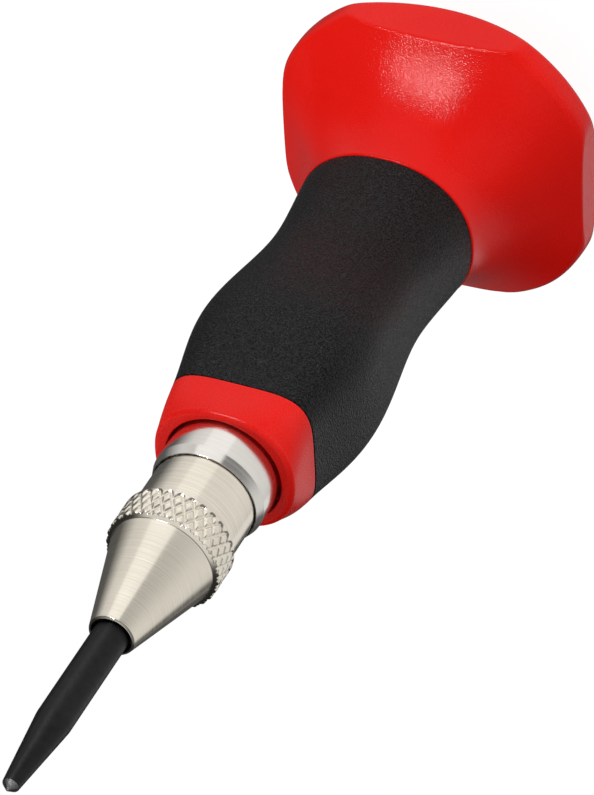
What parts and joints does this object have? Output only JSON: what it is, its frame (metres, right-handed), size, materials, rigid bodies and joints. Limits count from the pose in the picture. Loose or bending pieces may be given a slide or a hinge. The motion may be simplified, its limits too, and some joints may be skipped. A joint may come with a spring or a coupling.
{
  "type": "automatic center punch",
  "caption": "Spring-loaded automatic center punch: tapered steel point, knurled conical nose, nickel barrel, waisted soft grip and flared hand guard with flats.",
  "frame": {"origin": "centre of the palm face, on the tool's axis", "axes": "+Z along the tool's axis towards the tip, X across the wider pair of guard flats, Y across the narrower pair"},
  "size_m": [0.047, 0.044, 0.152],
  "materials": {
    "guard_red": "satin with a fine spark texture",
    "core_red": "semi-gloss",
    "grip_black": "soft grip with a fine leather grain",
    "tube_polished": "polished nickel plate",
    "nickel_satin": "satin nickel plate, turned",
    "point_black": "black oxide",
    "plain_steel": "machined",
    "spring_steel": "oil tempered wire",
    "bronze": "machined",
    "ring_rubber": "matt"
  },
  "bodies": {
    "handle": {"hand_guard": "guard_red", "palm_cap": "guard_red", "handle_screw": "plain_steel", "screw_washer": "plain_steel", "handle_core": "core_red", "grip_sleeve": "grip_black", "cap_tube": "tube_polished", "tube_plug": "plain_steel", "thrust_washer": "bronze"},
    "seat": {"spring_seat": "plain_steel", "main_spring": "spring_steel"},
    "barrel": {"barrel": "nickel_satin", "nose_cap": "nickel_satin", "guide_bush": "bronze", "centring_bush": "plain_steel", "friction_ring": "ring_rubber", "return_spring": "spring_steel"},
    "point": {"punch_point": "point_black"},
    "pin": {"release_pin": "plain_steel"},
    "hammer": {"hammer": "plain_steel"}
  },
  "joints": [
    {"name": "adjust_turn", "type": "hinge", "parent": "handle", "child": "seat", "pos_m": [0, 0, 0.025], "axis": [0, 0, 1], "range_deg": [-720, 360]},
    {"name": "adjust_travel", "type": "slide", "parent": "seat", "child": "barrel", "axis": [0, 0, 1], "range_m": [-0.002, 0.001]},
    {"name": "point_press", "type": "slide", "parent": "barrel", "child": "point", "axis": [0, 0, -1], "range_m": [0, 0.008], "stiffness_N_per_m": 400, "springref_m": -0.005, "deforming": ["return_spring"]},
    {"name": "pin_align", "type": "hinge", "parent": "point", "child": "pin", "pos_m": [0, 0, 0.10585], "axis": [0, -1, 0], "range_deg": [0, 2.12]},
    {"name": "hammer_lift", "type": "slide", "parent": "barrel", "child": "hammer", "axis": [0, 0, -1], "range_m": [0, 0.008], "deforming": ["main_spring"]}
  ],
  "couplings": [
    {"joint": "adjust_turn", "follows": "adjust_travel", "rad_per_m": 6283.1},
    {"joint": "pin_align", "follows": "point_press", "rad_per_m": 4.6},
    {"joint": "hammer_lift", "follows": "point_press", "ratio": 1}
  ]
}
